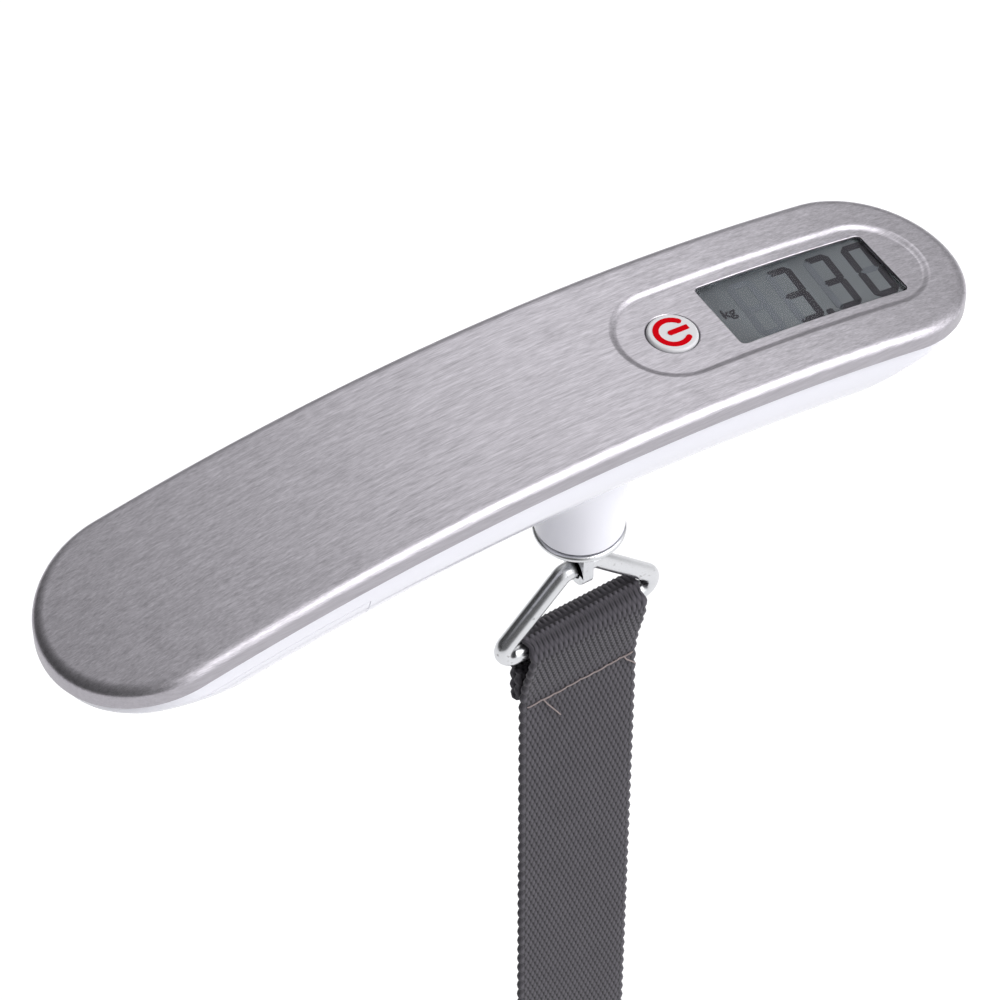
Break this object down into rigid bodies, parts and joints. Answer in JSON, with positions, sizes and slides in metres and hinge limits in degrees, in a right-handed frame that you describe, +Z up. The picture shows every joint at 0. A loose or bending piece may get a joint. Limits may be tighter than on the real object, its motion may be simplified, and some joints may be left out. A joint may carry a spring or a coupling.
{
  "type": "digital luggage scale",
  "caption": "Hand-held digital luggage scale: arched white handle with a brushed steel cover, a display and a power button, and a webbing strap with a snap hook hanging from its neck.",
  "frame": {"origin": "top of the steel cover in the middle of the handle's length, where the palm holds it", "axes": "+X along the handle towards the display, +Y across the handle away from a reader of the display, +Z up"},
  "size_m": [0.15, 0.0318, 0.2778],
  "materials": {
    "brushed_steel": "brushed along the handle",
    "white_plastic": "gloss white",
    "inner_plastic": "plain grey",
    "clear_acrylic": "clear",
    "lcd_glass": "reflective grey display",
    "contact_rubber": "plain",
    "board_green": "green solder mask",
    "black_epoxy": "satin black",
    "button_plastic": "white with a red standby sign",
    "nickel": "nickel plated",
    "spring_bronze": "plain",
    "aluminium": "milled",
    "gauge_film": "amber film",
    "zinc_steel": "zinc plated",
    "chrome": "bright chrome",
    "webbing": "dark grey plain weave webbing",
    "lead_red": "plain",
    "lead_black": "plain",
    "lead_grey": "plain"
  },
  "bodies": {
    "handle": {"top_plate": "brushed_steel", "upper_shell": "inner_plastic", "lower_housing": "white_plastic", "housing_screw_1": "zinc_steel", "housing_screw_2": "zinc_steel", "housing_screw_3": "zinc_steel", "display_lens": "clear_acrylic", "lcd_panel": "lcd_glass", "lcd_holder": "inner_plastic", "contact_strip_near": "contact_rubber", "contact_strip_far": "contact_rubber", "circuit_board": "board_green", "controller_blob": "black_epoxy", "tact_switch": "black_epoxy", "board_screw_1": "zinc_steel", "board_screw_2": "zinc_steel", "battery_tray": "inner_plastic", "coin_cell": "nickel", "battery_contact_negative": "spring_bronze", "battery_contact_positive": "spring_bronze", "load_cell": "aluminium", "strain_gauge_top": "gauge_film", "strain_gauge_bottom": "gauge_film", "load_cell_screw_1": "zinc_steel", "load_cell_screw_2": "zinc_steel", "load_cell_lead": "lead_grey", "battery_lead_positive": "lead_red", "battery_lead_negative": "lead_black", "pull_stem": "zinc_steel", "stem_nut": "zinc_steel", "neck_disc": "chrome"},
    "button": {"power_button": "button_plastic"},
    "battery_door": {"battery_cover": "white_plastic"},
    "ring": {"triangle_ring": "chrome"},
    "strap": {"strap": "webbing"},
    "hook": {"hook_body": "chrome"},
    "gate": {"wire_gate": "chrome"}
  },
  "joints": [
    {"name": "button_press", "type": "slide", "parent": "handle", "child": "button", "axis": [-0.0822, 0, -0.9966], "range_m": [0, 0.0004], "stiffness_N_per_m": 300},
    {"name": "battery_door_pull", "type": "slide", "parent": "handle", "child": "battery_door", "axis": [0, 0, -1], "range_m": [0, 0.012]},
    {"name": "ring_swing", "type": "hinge", "parent": "handle", "child": "ring", "pos_m": [0.0111, 0, -0.0433], "axis": [1, 0, 0], "range_deg": [-80, 80]},
    {"name": "strap_swing", "type": "hinge", "parent": "ring", "child": "strap", "pos_m": [0.0111, 0, -0.0566], "axis": [1, 0, 0], "range_deg": [-60, 60]},
    {"name": "hook_swing", "type": "hinge", "parent": "strap", "child": "hook", "pos_m": [0.0111, 0, -0.2386], "axis": [1, 0, 0], "range_deg": [-60, 60]},
    {"name": "gate_open", "type": "hinge", "parent": "hook", "child": "gate", "pos_m": [0.02045, 0, -0.25081], "axis": [0, 1, 0], "range_deg": [0, 40], "stiffness_Nm_per_rad": 0.002}
  ]
}
